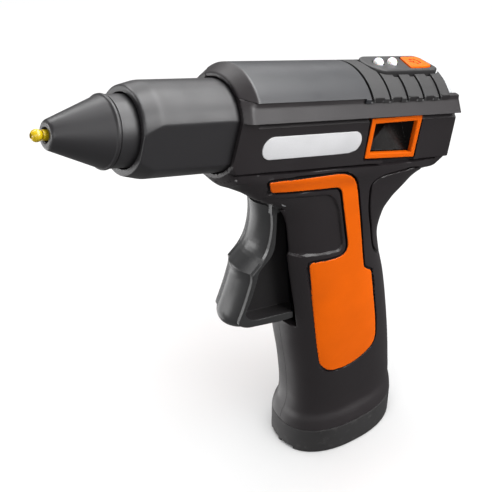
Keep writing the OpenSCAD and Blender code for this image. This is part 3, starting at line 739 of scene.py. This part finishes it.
# Soft boxes: name, place, target, power, width, height
SOFT_BOXES = [
    ("behind", (-0.50, -0.75, 0.68), (0.0, 0.0, 0.14), 3.6, 0.8, 0.7),
    ("overhead", (-0.50, -0.08, 1.0), (0.0, 0.0, 0.14), 17.0, 0.8, 0.7),
    ("high left", (-0.50, 0.70, 0.80), (0.0, 0.0, 0.14), 17.0, 0.8, 0.7),
    ("left", (-0.45, 1.05, 0.45), (0.0, 0.0, 0.14), 2.2, 0.9, 0.3),
    ("key", (0.75, 0.95, 0.80), (0.0, 0.0, 0.12), 6.0, 0.8, 0.6),
    ("front", (1.25, -0.45, 0.22), (0.03, 0.0, 0.06), 20.0, 1.5, 0.4),
    ("right", (0.05, -0.80, 0.95), (0.05, 0.0, 0.16), 6.0, 0.7, 0.5),
    ("bounce", (0.60, -0.80, -0.45), (0.03, 0.0, 0.10), 7.0, 1.2, 0.8),
]
FLOOR_LAMP = ("floor lamp", (0.1, 0.2, 1.4), (0.0, 0.0, 0.0), 34.0, 1.6, 1.6)


def look(obj, at, direction):
    obj.location = at
    obj.rotation_euler = Vector(direction).to_track_quat("-Z", "Y").to_euler()


def add_camera():
    data = bpy.data.cameras.new("camera")
    data.lens = LENS
    data.sensor_width = SENSOR
    camera = bpy.data.objects.new("camera", data)
    bpy.context.scene.collection.objects.link(camera)
    look(camera, CAMERA_AT, CAMERA_LOOK)
    bpy.context.scene.camera = camera
    bpy.context.scene.view_settings.view_transform = "Standard"


def add_light(name, at, target, power, width, height):
    data = bpy.data.lights.new(name, "AREA")
    data.shape = "RECTANGLE"
    data.size, data.size_y = width, height
    data.energy = power
    light = bpy.data.objects.new(name, data)
    bpy.context.scene.collection.objects.link(light)
    look(light, at, Vector(target) - Vector(at))
    return light


def add_floor():
    data = bpy.data.meshes.new("floor")
    half = 4.0
    corners = [(-half, -half, 0), (half, -half, 0), (half, half, 0), (-half, half, 0)]
    data.from_pydata(corners, [], [(0, 1, 2, 3)])
    floor = bpy.data.objects.new("floor", data)
    bpy.context.scene.collection.objects.link(floor)
    m = Nodes("floor")
    cloud = m.noise(180, 2.0)
    base = m.mix(m.ramp(cloud, 0.3, 0.7), (0.86, 0.86, 0.86), (0.88, 0.88, 0.88))
    m.link(base, m.shader.inputs["Base Color"])
    m.set(Roughness=0.75, Specular_IOR_Level=0.2)
    data.materials.append(m.material)
    # The gun doesn't mirror the bright floor; the light that bounces off it comes from a lamp below.
    floor.visible_shadow = False
    floor.visible_glossy = False
    floor.visible_diffuse = False
    return floor


def add_world():
    world = bpy.data.worlds.new("studio")
    world.use_nodes = True
    background = world.node_tree.nodes["Background"]
    background.inputs["Color"].default_value = (1.0, 1.0, 1.0, 1)
    background.inputs["Strength"].default_value = 0.22
    bpy.context.scene.world = world


def light_the_set(floor):
    """The soft boxes light the gun only, and the floor has a lamp of its own."""
    lit = bpy.data.collections.new("lit by the soft boxes")
    ground = bpy.data.collections.new("lit by the floor lamp")
    ground.objects.link(floor)
    for thing in bpy.context.scene.objects:
        if thing.type == "MESH" and thing is not floor:
            lit.objects.link(thing)
    for box in SOFT_BOXES:
        add_light(*box).light_linking.receiver_collection = lit
    add_light(*FLOOR_LAMP).light_linking.receiver_collection = ground


# ---------- housing ----------

def housing_field(s, y, t, side):
    """One half of the housing; side is 1 for the left half and -1 for the right half."""
    x, z = from_barrel(s, t)
    h = y * side
    r = np.sqrt(y * y + t * t)
    d = cut(body_field(s, y, t), hollow_field(s, y, t))
    # Slanted groove under the rail, groove under the side panel and crease along the neck
    lip = np.maximum((19.9 - t - h) * math.sqrt(0.5), t - PANEL_HIGH - 0.2)
    under_rail = np.maximum(lip, np.maximum(slab(s, -100, -6.7), PANEL_Y - 1.0 - h))
    under_panel = np.maximum(slab(t, PANEL_LOW - 1.0, PANEL_LOW), np.maximum(slab(s, -93, 1), 13.0 - h))
    crease = np.maximum(slab(t, -13.0, -12.7), np.maximum(slab(s, -52, -2.5), CORE_Y - 0.3 - h))
    d = cut(d, np.minimum(under_rail, under_panel), 0.25)
    d = cut(d, crease, 0.1)
    d = cut(d, meet(INLAY_EDGE(x, z) - 0.85, 12.5 - h, 0.2), 0.35)
    palm = np.maximum(-0.8 - grip_field(x, y, z), 7 - h)
    d = cut(d, meet(PALM_EDGE(x, z), palm, 0.5), 0.9)
    d = cut(d, np.maximum(WINDOW_EDGE(s, t) - 0.3, 8 - h), 0.25)
    d = cut(d, np.maximum(WEB_EDGE(x, z) - 0.85, -(r - BODY_R - 0.3)), 0.3)
    d = cut(d, trigger_room(x, y, z), 0.7)
    d = cut(d, mouth_field(s, y, t), 0.5)
    d = np.maximum(d, SEAM / 2 - h)
    if side < 0:
        for sx, sz in SCREWS:
            d = cut(d, np.maximum(np.hypot(x - sx, z - sz) - 3.1, 9 - h), 0.5)
    return d


def make_housing():
    for side, name in ((1, "left"), (-1, "right")):
        y0, y1 = (0, RAIL_Y) if side > 0 else (-RAIL_Y, 0)
        moulded(
            "housing_" + name + "_shell", lambda s, y, t: housing_field(s, y, t, side),
            (-120, y0, -136), (0, y1, SHELF), HOUSING_CELL, "housing", ["housing_" + name],
            [MATERIALS["body_plastic"]],
        )


# ---------- top cover and control panel ----------

def plateau(s, y, grow=0.0):
    """Outline of the control panel, rounder at its front, as a distance from above."""
    def box(low, high, corner):
        ds = np.abs(s - (low + high) / 2) - (high - low) / 2 + corner
        dy = np.abs(y) - PANEL_SIDE + corner
        return np.minimum(np.maximum(ds, dy), 0) + np.hypot(np.maximum(ds, 0), np.maximum(dy, 0)) - corner
    return np.minimum(box(COVER_REAR, PANEL_FRONT, 5.5), box(COVER_REAR, PANEL_SHOULDER, 3)) - grow


def tab_recess(s, ay, t, groove):
    """Recess at the lower end of the rib behind a groove."""
    low_end = np.maximum(slab(t, COVER_LOW + 0.3, SHELF + 0.3), LEDGE_Y + 0.3 - ay)
    return np.maximum(slab(s, groove - 5.3, groove - 1.2), low_end)


def cover_field(s, y, t):
    ay = np.abs(y)
    r = np.sqrt(y * y + t * t)
    d = meet(turned_body(s, r), COVER_REAR - s, 0.5)
    # The ribbed part reaches down over the ledge
    skirt = np.maximum(np.maximum(COVER_LOW - t, slab(ay, LEDGE_Y + SEAM, LEDGE_Y + SKIRT)), s - RIBS_S)
    d = meet(d, np.minimum(SHELF + SEAM - t, skirt), 0.1)
    d = cut(d, np.maximum(r - (BODY_R - WALL), s + 4.2))
    d = cut(d, mouth_field(s, y, t), 0.5)
    for g in GROOVES:
        half = 0.5 if g == GROOVES[0] else 0.4    # the first groove is the widest
        d = cut(d, np.maximum(np.abs(s - g) - half, BODY_R - 0.8 - r), 0.25)
        d = cut(d, tab_recess(s, ay, t, g), 0.1)
    for g in GROOVES[2:]:
        notch = np.maximum(slab(s, g, g + 2.4), np.maximum(ay - 7.9, BODY_R - 1.0 - r))
        d = cut(d, notch, 0.2)
    return cut(d, plateau(s, y, 0.35), 0.25)


def button_shape(s, y, grow=0.0):
    edges = [-line_field(s, y, start, end) for start, end in zip(BUTTON, BUTTON[1:] + BUTTON[:1])]
    d = edges[0]
    for edge in edges[1:]:
        d = meet(d, edge, 0.9)
    return d - grow


def panel_field(s, y, t):
    d = meet(meet(plateau(s, y), t - PANEL_TOP, 0.7), 15.3 - t)
    for sx in LED_XS:
        d = cut(d, np.maximum(np.hypot(s - sx, y) - LED_R - 0.3, 17 - t), 0.4)
    return cut(d, np.maximum(button_shape(s, y, 0.35), 17 - t), 0.3)


def button_field(s, y, t):
    d = meet(button_shape(s, y), slab(t, 17.6, PANEL_TOP + BUTTON_RISE), 0.4)
    return cut(d, np.maximum(power_mark(s, y), PANEL_TOP + BUTTON_RISE - 0.25 - t), 0.12)


def power_mark(s, y):
    """Ring with a bar through its gap, the usual sign on a switch."""
    ahead, ay = s - MARK_S, np.abs(y)
    ring = np.abs(np.hypot(ahead, y) - MARK_R) - MARK_LINE
    ring = np.maximum(ring, -np.maximum(ay - 0.75, -ahead))
    bar = np.maximum(ay - MARK_LINE, slab(ahead, 0.4, 2.6))
    return np.minimum(ring, bar)


def cover_material(s, y, t, _sideways):
    """Ribs behind the first groove, the body's plastic on the chamfer, and painted shade: near-black on the
    groove floors, notches and inside of the cover, and in the tab recesses.
    """
    ay = np.abs(y)
    # Faces inside the cover's round behind s = -40, and faces in the tab recesses, take the near-black
    # material as painted shade.
    painted_shade = (s < -40) & (np.hypot(y, t) < BODY_R - 0.3) & (t > SHELF + 0.1)
    for g in GROOVES:
        painted_shade |= tab_recess(s, ay, t, g) < 0.1
    return np.where(painted_shade, 3, np.where(s < GROOVES[0], 1, np.where(s > -CHAMFER - 0.1, 2, 0)))


def make_top():
    moulded("top_cover_shell", cover_field, (COVER_REAR, -17, COVER_LOW), (0, 17, BODY_R), CELL * 0.84,
            "housing", ["top_cover"],
            [MATERIALS["cover_plastic"], RIB, MATERIALS["body_plastic"], RECESS_SHADE], cover_material)
    moulded("control_panel_top", panel_field, (-90, -8.6, 15), (-58, 8.6, PANEL_TOP), CELL * 0.6, "housing",
            ["control_panel"], [RIB])

    def in_mark(s, y, t, _sideways):
        return (power_mark(s, y) < 0.05) & (t > PANEL_TOP)

    moulded("power_button_cap", button_field, (-89, -5, 17), (-76, 5, PANEL_TOP + 1), CELL * 0.45, "button",
            ["power_button"], [MATERIALS["orange_plastic"], MARK], in_mark)
    for name, sx in zip(("led_front", "led_rear"), LED_XS):
        dome = [(0, PANEL_TOP + LED_R, 0)]
        dome += [(LED_R * math.cos(a), PANEL_TOP + LED_R * math.sin(a), 0) for a in np.linspace(1.4, 0, 10)]
        dome += [(LED_R, 18.4, 0), (2.3, 18.2, 0.1), (2.3, 17, 0), (0, 17, 0)]
        spun(name + "_lens", dome, 48, lambda along, u, v, sx=sx: (*from_barrel(sx + u, along), v),
             "housing", [name], MATERIALS["lamp_plastic"])


# ---------- nozzle ----------

def along_barrel(along, u, v):
    return (*from_barrel(along, u), v)


def collar_field(s, y, t):
    ay = np.abs(y)
    r = np.sqrt(y * y + t * t)
    taper = -line_field(s, r, (33.2, 13.6), (27.5, COLLAR_R))
    d = meet(r - COLLAR_R, taper, 0.25)
    d = meet(meet(d, ay - COLLAR_Y, 0.2), s - COLLAR_LEN, 0.6)
    d = np.maximum(d, -2.9 - s)
    bore = np.maximum(np.maximum(r - 13.1, ay - 11.9), s - 29.6)
    return cut(d, np.minimum(bore, r - 11.5), 0.4)


def make_nozzle():
    moulded("front_collar_shell", collar_field, (-3, -14, -15), (34, 14, 15), CELL * 0.92, "housing",
            ["front_collar"], [MATERIALS["collar_plastic"]])
    cone = [
        (9.3, 24, 0), (11, 24, 0), (11.3, 26, 0.2), (11.3, 29.4, 0.2), (11, 29.4, 0), (11, 38.9, 0.3),
        (10.7, 39.0, 0.1), (10.7, 39.3, 0.1), (11.35, 39.5, 0.3), (11.3, 40.3, 0.4), (10.75, 40.7, 0.3),
        (4.45, 57.3, 0.9), (3.7, 57.9, 0.5), (2.5, 57.9, 0.3), (2.2, 57.4, 0.1), (2.2, 55, 0), (8.7, 39, 0),
        (9.3, 36, 0),
    ]
    spun("nozzle_cone_shell", cone, 128, along_barrel, "housing", ["nozzle_cone"],
         MATERIALS["collar_plastic"])
    bead = [(1.9 * math.sin(a), 60.5 + 1.9 * math.cos(a), 0) for a in np.linspace(2.55, 0.42, 14)]
    tip = [(0.75, 46, 0), (2.45, 46, 0.2), (2.45, 54, 0.3), (1.6, 54, 0), (1.6, 58.9, 0)] + bead
    tip += [(0.75, 62.0, 0.1), (0.72, 58, 0)]
    spun("nozzle_tip_metal", tip, 64, along_barrel, "housing", ["nozzle_tip"],
         MATERIALS["tip_metal"])
    stick = [(0, 7, 0), (3.5, 7, 0.3), (3.5, -89, 0.5), (0, -89, 0)]
    spun("glue_stick_rod", stick, 64, along_barrel, "stick", ["glue_stick"], MATERIALS["stick"])


def cap_field(s, y, t):
    ay = np.abs(y)
    r = np.sqrt(y * y + t * t)
    d = np.maximum(r - 17.4, s + 90.5)
    steps = [(-92.5, 17.4), (-95.5, 16.2), (-98.4, 12.2), (-99.4, 8)]
    for start, end in zip(steps, steps[1:]):
        d = meet(d, -line_field(s, r, start, end), 0.8)
    d = meet(d, -99.4 - s, 0.6)
    d = meet(meet(d, ay - 12.3, 0.8), -12.4 - t, 0.8)
    return cut(d, r - 3.9, 0.7)


# ---------- trigger ----------

def trigger_field(x, y, z):
    ay = np.abs(y)
    # The front is crowned from side to side, with a narrow flat rim along each edge
    crown = CROWN * np.minimum(ay, RIM_Y) ** 2
    d = meet(TRIGGER_EDGE(x, z) + crown, ay - TRIGGER_Y, 0.6)
    d = cut(d, meet(POCKET_EDGE(x, z), 2.0 - ay, 0.3), 0.3)
    from_pin = np.hypot(x - PIVOT_X, z - PIVOT_Z)
    hub = meet(from_pin - HUB_R, ay - HUB_Y, 0.4)
    neck = np.maximum(np.maximum(slab(x, 34.6, 39.4), slab(z, 124, 130)), ay - TRIGGER_Y)
    d = np.minimum(np.minimum(np.maximum(d, z - 127), hub), neck)
    s, t = to_barrel(x, z)
    ps, pt = to_barrel(PIVOT_X, PIVOT_Z)
    # Two arms, each with a slot for the feed carriage's trunnion; u runs across an arm and w along it
    c, q = math.cos(ARM_LEAN), math.sin(ARM_LEAN)
    u, w = (s - ps) * c + (t - pt) * q, -(s - ps) * q + (t - pt) * c
    arm = meet(meet(np.abs(u) - 3, slab(w, 0, ARM_LEN), 0.6), slab(ay, HUB_Y - 2, HUB_Y), 0.3)
    slot = np.hypot(u, np.maximum(np.abs(w - ARM_SLOT) - 0.8, 0)) - ARM_SLOT_R
    d = np.minimum(d, np.maximum(arm, -slot))
    return np.maximum(d, PIN_R - from_pin)


# Faces inside the trigger's pocket take the near-black material: painted shade of the pocket.
def in_pocket(x, y, z, _sideways):
    return (POCKET_EDGE(x, z) < 0.05) & (np.abs(y) < TRIGGER_Y - 0.4)


def make_trigger():
    moulded("trigger_lever", trigger_field, (24, -HUB_Y, 68), (56, HUB_Y, 158), CELL * 0.85, "trigger",
            ["trigger"], [MATERIALS["trigger_plastic"], RECESS_SHADE], in_pocket, tilted=False)


# ---------- side trims ----------

def inlay_field(x, y, z, side):
    s, t = to_barrel(x, z)
    d = meet(body_field(s, y, t) - 0.2, INLAY_EDGE(x, z), 0.35)
    return np.maximum(d, 12.6 - y * side)


def web_field(x, y, z):
    s, t = to_barrel(x, z)
    r = np.sqrt(y * y + t * t)
    shell = np.maximum(body_field(s, y, t), -(grip_field(x, y, z, 4.5)))
    return np.maximum(meet(shell, WEB_EDGE(x, z), 0.5), BODY_R + 0.6 - r)


def bezel_field(s, y, t, side):
    edge = WINDOW_EDGE(s, t)
    return meet(cut(edge + 0.45, edge + 2.4, 0.4), slab(y * side, 13.2, PANEL_Y + 0.3), 0.4)


def well_field(s, y, t, side):
    """Tray of dark plastic, darkened further as painted shade: a ramp falls from the front and the lower
    edge to the floor at the upper rear.
    """
    h = y * side
    edge = WINDOW_EDGE(s, t)
    ramp = h - 12.6 + np.minimum((-57.4 - s) * 0.42, (t + 7) * 0.62)
    room = meet(meet(edge + 2.4, 6.8 - h, 0.3), -ramp, 0.15)
    return np.maximum(np.maximum(edge + 0.2, slab(h, 5.8, 13.1)), -room)


def make_trims():
    for side, name in ((1, "left"), (-1, "right")):
        def ends(a, b):
            return (a, b) if side > 0 else (-b, -a)

        y0, y1 = ends(12.5, 15.4)
        # The inlay's side walls take the near-black material: painted shade of the gap around the inlay.
        moulded("grip_inlay_" + name + "_pad", lambda x, y, z: inlay_field(x, y, z, side), (-11, y0, 42),
                (47, y1, 145), CELL * 0.75, "housing", ["grip_inlay_" + name],
                [MATERIALS["orange_plastic"], RECESS_SHADE], lambda x, y, z, sideways: sideways < 0.2, tilted=False)
        y0, y1 = ends(13.1, 15.2)
        # The bezel's outer side walls take the near-black material: painted shade of the gap between bezel
        # and housing.
        moulded("window_bezel_" + name + "_frame", lambda s, y, t: bezel_field(s, y, t, side),
                (-81, y0, -10), (-53, y1, 7.5), CELL * 0.55, "housing", ["window_bezel_" + name],
                [MATERIALS["orange_plastic"], RECESS_SHADE],
                lambda s, y, t, sideways: (WINDOW_EDGE(s, t) > -1.3) & (sideways < 0.2))
        y0, y1 = ends(5.8, 13.2)
        moulded("window_well_" + name + "_tray", lambda s, y, t: well_field(s, y, t, side),
                (-81, y0, -10), (-53, y1, 7.5), CELL * 0.6, "housing", ["window_well_" + name],
                [MATERIALS["well_plastic"]])
    moulded("web_pad_skin", web_field, (-24, -15, 88), (2, 15, 128), CELL * 0.85, "housing", ["web_pad"],
            [MATERIALS["body_plastic"]], tilted=False)
    moulded("rear_cap_shell", cap_field, (-100, -12.4, -12.5), (-90, 12.4, 18), CELL * 0.8, "housing",
            ["rear_cap"], [MATERIALS["cap_plastic"]])


def make_badges():
    """Blank nameplates with round ends and a small rounded edge."""
    for side, name in ((1, "badge_left"), (-1, "badge_right")):
        verts, faces = [], []
        turns = 48
        layers = [(0.0, 0.0), (0.0, 0.14), (0.05, 0.22), (0.13, 0.27), (0.25, 0.3)]
        for inset, rise in layers:
            radius = BADGE_R - inset
            for i in range(turns):
                a = 2 * math.pi * (i + 0.5) / turns
                s = BADGE_S + math.copysign(BADGE_HALF, math.cos(a)) + radius * math.cos(a)
                x, z = from_barrel(s, BADGE_T + radius * math.sin(a))
                verts.append((x * MM, side * (PANEL_Y + rise) * MM, z * MM))
        for k in range(len(layers) - 1):
            for i in range(turns):
                j = (i + 1) % turns
                faces.append((k * turns + i, k * turns + j, (k + 1) * turns + j, (k + 1) * turns + i))
        faces.append(tuple(range(turns)))
        faces.append(tuple(range((len(layers) - 1) * turns, len(layers) * turns)))
        mesh = bpy.data.meshes.new(name)
        mesh.from_pydata(verts, [], faces)
        tidy_mesh(mesh)
        mesh.materials.append(MATERIALS["plate_plastic"])
        mesh.polygons.foreach_set("use_smooth", [True] * len(mesh.polygons))
        mesh.set_sharp_from_angle(angle=SHARP)
        place(name + "_plate", mesh, "housing", [name])


# ---------- foot ----------

def foot_field(x, y, z):
    edge = oval(x, y, FOOT_X, FOOT_A, FOOT_B, 2.3)
    d = meet(meet(edge, z - FOOT_H, 0.4), -z, 0.9)
    d = cut(d, meet(edge + 2.4, 2.2 - z, 0.5))
    for fy in (-CONTACT_Y, CONTACT_Y):
        d = cut(d, block(x, y, z, (24, fy - NOTCH_HALF, -1), (40, fy + NOTCH_HALF, 1.6), 0.3), 0.3)
    for fx in FOOT_SCREW_XS:
        d = cut(d, np.maximum(np.hypot(x - fx, y) - 3, z - 3), 0.3)
    return d


def make_foot():
    moulded("foot_cap_shell", foot_field, (-27, -19, 0), (29, 19, FOOT_H), CELL * 0.9, "housing",
            ["foot_cap"], [MATERIALS["foot_rubber"]], tilted=False)


# ---------- all together ----------

# Lattice steps of the moulded pieces
CELL = 0.55
HOUSING_CELL = 0.89      # about 64,000 triangles in each half

add_camera()
add_world()
floor = add_floor()
make_housing()
make_top()
make_nozzle()
make_trigger()
make_trims()
make_badges()
make_foot()
light_the_set(floor)
